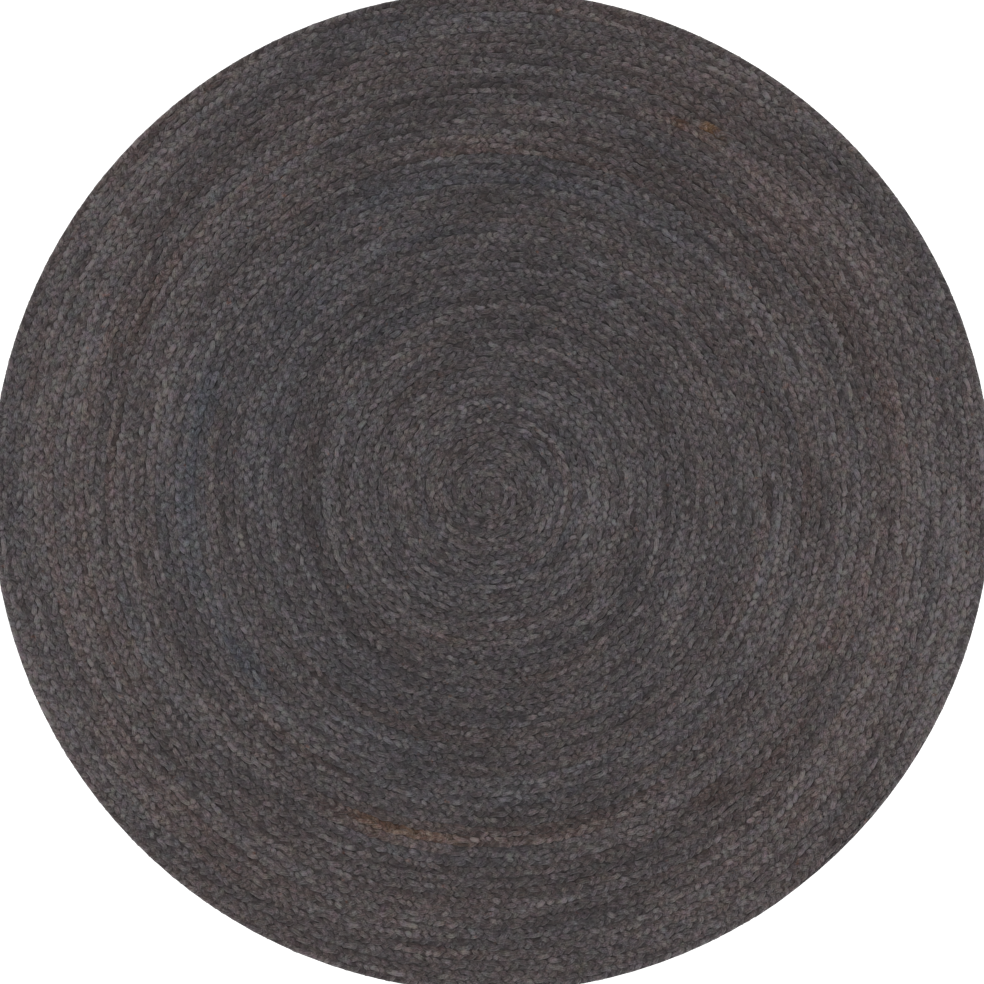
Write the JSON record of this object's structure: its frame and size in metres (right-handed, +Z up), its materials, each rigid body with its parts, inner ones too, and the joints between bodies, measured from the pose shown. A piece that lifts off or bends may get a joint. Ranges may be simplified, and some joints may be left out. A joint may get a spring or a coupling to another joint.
{
  "type": "round jute rug",
  "caption": "Round flat rug of one three-strand jute braid, coiled from the middle outwards and sewn turn to turn, in dyed charcoal.",
  "frame": {"origin": "middle of the flat underside, on the floor", "axes": "+Z up, out of the floor, through the rug's thickness; the rug is round, so X and Y only lie in its plane"},
  "size_m": [1.2, 1.2, 0.009],
  "materials": {
    "charcoal_jute": "matt dyed jute, charcoal with faint brown and blue-grey drifts along the braid"
  },
  "bodies": {
    "root": {"coiled_rug": "charcoal_jute"}
  },
  "joints": []
}
